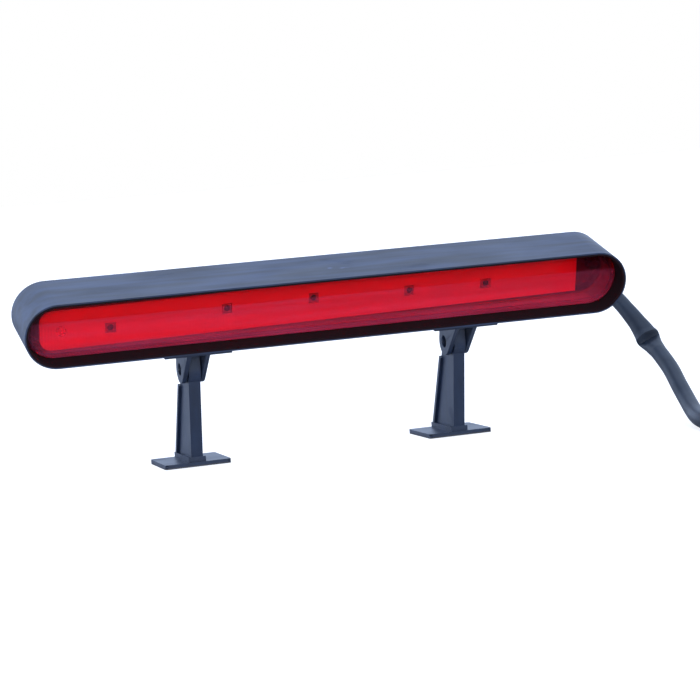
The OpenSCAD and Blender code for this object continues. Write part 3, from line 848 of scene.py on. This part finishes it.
def scuffs(nodes, links):
    """Small worn marks on top of the housing, broken up by noise."""
    marks = ellipses(nodes, links, lamp_x(nodes, links), lamp_depth(nodes, links), SCUFFS)
    worn = grey_ramp(nodes, links, noise(nodes, links, *SCUFF_NOISE), SCUFF_WEAR)
    return math_node(nodes, links, "MULTIPLY", marks, worn)


def led_domes(nodes, links):
    """1 on the LEDs' round domes, 0 on their packages."""
    rows = [(x, z + REFLECTOR_RISE / MM, DOME_RADIUS, DOME_RADIUS) for x, z in LED_PLACES]
    spots = ellipses(nodes, links, lamp_x(nodes, links), lamp_height(nodes, links), rows)
    return math_node(nodes, links, "GREATER_THAN", spots)


# ---------------------------------------------------------------- the lens's red

RED = (0.97, 0.035, 0.05, 1)
RED_ROUGHNESS, RED_IOR = 0.03, 1.2
# What the lens leaves of the light that passes straight through it
RED_LIGHT = (0.98, 0.24, 0.28, 1)
HAZE_COLOUR = (0.62, 0.11, 0.25, 1)
# Share of light that the lens scatters, by height in the lamp: (mm, share). Less above 4 mm paints the
# shade of the hood's lip, and more low down paints a highlight and the floor's reflection along the
# bottom edge.
HAZE_WITH_PAINTED_SHADE = [(-14.1, 0.5), (-13.4, 0.4), (-12.9, 0.17), (-9.5, 0.16), (-8, 0.1), (3.3, 0.1), (4.3, 0.02),
        (13.8, 0.01)]
# Noise in the bands' heights and how far it moves them, in mm
UNEVEN_NOISE = (90, 3, (0.4, 1, 1))
UNEVEN = 0.5
# Stripes of the flutes: how wavy they are, and the patches in which they show
FLUTES_WAVY = 0.5
PATCH_NOISE = (30, 2)
PATCHES = [(0.42, 0.05), (0.65, 0.5)]
# Fine scratches along the lens, and the haze where no flute or scratch adds to it
SCRATCH_NOISE = (420, 3, (0.02, 1, 1))
SCRATCHES = [(0.35, 0.45), (0.7, 1.25)]
HAZE_EVEN = 0.15


def haze_with_painted_shade(nodes, links):
    """Share of light that the lens scatters: patchy flutes and fine scratches, in bands by height that
    paint the hood lip's shade and a highlight low down.
    """
    low, high = HAZE_WITH_PAINTED_SHADE[0][0], HAZE_WITH_PAINTED_SHADE[-1][0]
    uneven = math_node(nodes, links, "MULTIPLY", noise(nodes, links, *UNEVEN_NOISE), UNEVEN)
    level = nodes.new("ShaderNodeMapRange")
    level.inputs["From Min"].default_value = low
    level.inputs["From Max"].default_value = high
    links.new(math_node(nodes, links, "ADD", lamp_height(nodes, links), uneven), level.inputs["Value"])
    # The bands paint the hood lip's shade at the top and a highlight along the bottom edge
    bands = grey_ramp(nodes, links, level.outputs["Result"],
                      [((at - low) / (high - low), share) for at, share in HAZE_WITH_PAINTED_SHADE])
    patchy = grey_ramp(nodes, links, noise(nodes, links, *PATCH_NOISE), PATCHES)
    flutes = stripes(nodes, links, "X", FLUTE_PITCH, FLUTES_WAVY)
    fluted = math_node(nodes, links, "MULTIPLY", flutes, patchy)
    scratched = grey_ramp(nodes, links, noise(nodes, links, *SCRATCH_NOISE), SCRATCHES)
    texture = math_node(nodes, links, "ADD", math_node(nodes, links, "ADD", fluted, scratched),
                        HAZE_EVEN)
    return math_node(nodes, links, "MULTIPLY", bands, texture)


def lens_red():
    """Clear red acrylic: lamps shine through it, flutes and scratches scatter a little light, in bands of
    painted shade and highlight.
    """
    mat, nodes, links, shader = material("lens_red")
    shader.inputs["Base Color"].default_value = RED
    shader.inputs["Roughness"].default_value = RED_ROUGHNESS
    shader.inputs["IOR"].default_value = RED_IOR
    shader.inputs["Transmission Weight"].default_value = 1.0

    haze = nodes.new("ShaderNodeBsdfDiffuse")
    haze.inputs["Color"].default_value = HAZE_COLOUR
    hazy = nodes.new("ShaderNodeMixShader")
    links.new(haze_with_painted_shade(nodes, links), hazy.inputs["Fac"])
    links.new(shader.outputs["BSDF"], hazy.inputs[1])
    links.new(haze.outputs["BSDF"], hazy.inputs[2])

    path = nodes.new("ShaderNodeLightPath")
    clear = nodes.new("ShaderNodeBsdfTransparent")
    clear.inputs["Color"].default_value = RED_LIGHT
    lit = nodes.new("ShaderNodeMixShader")
    links.new(path.outputs["Is Shadow Ray"], lit.inputs["Fac"])
    links.new(hazy.outputs["Shader"], lit.inputs[1])
    links.new(clear.outputs["BSDF"], lit.inputs[2])
    links.new(lit.outputs["Shader"], nodes["Material Output"].inputs["Surface"])
    return mat


# ---------------------------------------------------------------- finishes and soft edges

# CAD nodes and new pieces of each material
FINISHES = {
    "housing_plastic": ["housing"],
    "bracket_plastic": ["bracket_left", "bracket_right", "leg_left", "leg_right"],
    "cover_plastic": ["rear_cover"],
    "seal_rubber": ["cover_seal", "lens_seal", "cable_grommet", "ribbed_grommet"],
    "lens_red": ["lens", "lens_fluted"],
    "cable_sleeve": ["cable_sleeve", "cable_coil", "cable"],
    "reflector_white": ["reflector"],
    "board_white": ["led_board"],
    "led_body": ["leds", "led_packages"],
    "component_black": ["resistors", "rectifier_diode"],
    "tie_plastic": ["coil_tie", "cable_tie"],
    "foam_tape": ["foot_tape_left", "foot_tape_right"],
    "wire_red": ["wire_red", "wire_end_red", "wire_end_red_lead"],
    "wire_black": ["wire_black", "wire_end_black", "wire_end_black_lead"],
    "pin_plastic": ["hinge_pin_left", "hinge_pin_right"],
    "screw_steel": ["cover_screws", "cover_screw_heads", "board_screws", "bracket_screws_left",
                    "bracket_screws_right"],
    "copper": ["wire_cores", "copper_strands"],
}
# Width of the rounding that the CAD nodes' edges get, in mm, and the angle from which they get it
SOFT_EDGES = {
    "housing": 0.45, "rear_cover": 0.3, "bracket_left": 0.4, "bracket_right": 0.4, "leg_left": 0.4,
    "leg_right": 0.4, "hinge_pin_left": 0.4, "hinge_pin_right": 0.4,
}
SOFT_ANGLE = math.radians(35)
SOFT_MERGE = 0.005 * MM


def paint(name, mat):
    """Gives a CAD node or a new piece its material."""
    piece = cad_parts[name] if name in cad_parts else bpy.data.objects[name]
    if not piece.material_slots:
        piece.data.materials.append(mat)
    for material_slot in piece.material_slots:
        material_slot.material = mat


def soften(node, width):
    """Rounds a CAD node's edges with modifiers, which leaves its mesh as it is."""
    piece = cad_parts[node]
    weld = piece.modifiers.new("weld", "WELD")
    weld.merge_threshold = SOFT_MERGE
    bevel = piece.modifiers.new("bevel", "BEVEL")
    bevel.width = width
    bevel.segments = 3
    bevel.limit_method = "ANGLE"
    bevel.angle_limit = SOFT_ANGLE
    bevel.use_clamp_overlap = True
    normals = piece.modifiers.new("normals", "WEIGHTED_NORMAL")
    normals.keep_sharp = True


def make_finishes():
    """Makes the materials, gives them to all nodes and pieces, and softens the nodes' edges."""
    finishes = {name: moulded(name, colour, roughness, **others)
                for name, (colour, roughness, others) in MOULDED.items()}
    finishes["lens_red"] = lens_red()
    # Painted shade and a painted red reflection of the lens, inside the hood and on the inner part of its
    # rim
    change_part(finishes["housing_plastic"], hood_painted_shade_mask, *HOOD_PAINTED_SHADE)
    change_part(finishes["housing_plastic"], scuffs, *SCUFF_FINISH)
    change_part(finishes["led_body"], led_domes, *DOME_FINISH)
    for finish, names in FINISHES.items():
        for name in names:
            paint(name, finishes[finish])
    for node, width in SOFT_EDGES.items():
        soften(node, width * MM)


# ---------------------------------------------------------------- floor and light

FLOOR_SIZE = 40
FLOOR_COLOUR = (0.45, 0.45, 0.46)
# Light that the floor adds towards the camera, so that it is white
FLOOR_GLOW = 0.75
# The studio's walls as the object sees them: dim where they face away from BRIGHT_SIDE
BRIGHT_SIDE = (-0.66, 0.35, 0.66)
DIM_WALL, BRIGHT_WALL = (0.74, 0.88, 1.12), (1.02, 1.26, 1.78)
# How far towards BRIGHT_SIDE the walls start to brighten, from -1 to 1
WALLS_BRIGHTEN = -0.7
# Suns: (name, strength, angle in degrees, direction in which it shines)
SUNS = [
    # From above: the hood's lip shades the top of the lens from it
    ("key", 0.5, 9, (0.12, 0.86, -0.50)),
    # From in front and low down: it reaches all of the reflector that can be seen
    ("fill", 0.7, 14, (0.3, 0.95, -0.09)),
]


def make_floor():
    """A wide pale floor that shows white."""
    bm = bmesh.new()
    bmesh.ops.create_grid(bm, x_segments=8, y_segments=8, size=FLOOR_SIZE / 2)
    mesh = bpy.data.meshes.new("floor")
    bm.to_mesh(mesh)
    bm.free()
    floor = bpy.data.objects.new("floor", mesh)
    bpy.context.collection.objects.link(floor)
    mat, nodes, links, shader = material("floor")
    shader.inputs["Base Color"].default_value = (*FLOOR_COLOUR, 1)
    shader.inputs["Roughness"].default_value = 0.6
    shader.inputs["Specular IOR Level"].default_value = 0.1
    shader.inputs["Emission Color"].default_value = (1, 1, 1, 1)
    path = nodes.new("ShaderNodeLightPath")
    glow = math_node(nodes, links, "MULTIPLY", path.outputs["Is Camera Ray"], FLOOR_GLOW)
    links.new(glow, shader.inputs["Emission Strength"])
    mesh.materials.append(mat)


def make_world():
    """White behind the object, and a soft gradient of studio walls around it."""
    world = bpy.data.worlds.new("world")
    bpy.context.scene.world = world
    world.use_nodes = True
    nodes, links = world.node_tree.nodes, world.node_tree.links
    place = nodes.new("ShaderNodeTexCoord")
    facing = nodes.new("ShaderNodeVectorMath")
    facing.operation = "DOT_PRODUCT"
    facing.inputs[1].default_value = BRIGHT_SIDE
    links.new(place.outputs["Generated"], facing.inputs[0])
    bright = nodes.new("ShaderNodeMapRange")
    bright.inputs["From Min"].default_value = WALLS_BRIGHTEN
    links.new(facing.outputs["Value"], bright.inputs["Value"])
    walls = mixed(nodes, links, bright.outputs["Result"], DIM_WALL, BRIGHT_WALL)
    path = nodes.new("ShaderNodeLightPath")
    backdrop = mixed(nodes, links, path.outputs["Is Camera Ray"], walls, grey(1))
    links.new(backdrop, nodes["Background"].inputs["Color"])


def make_suns():
    """Soft suns, which light the lamp from above and through its lens."""
    for name, strength, angle, direction in SUNS:
        light = bpy.data.lights.new(name, "SUN")
        light.energy = strength
        light.angle = math.radians(angle)
        sun = bpy.data.objects.new(name, light)
        bpy.context.collection.objects.link(sun)
        sun.rotation_euler = Vector(direction).to_track_quat("-Z", "Y").to_euler()


# ---------------------------------------------------------------- making

make_camera()
make_cord()
make_lens()
make_leds()
make_cover_screws()
make_grommet()
make_finishes()
make_floor()
make_world()
make_suns()
bpy.context.scene.view_settings.view_transform = "Standard"
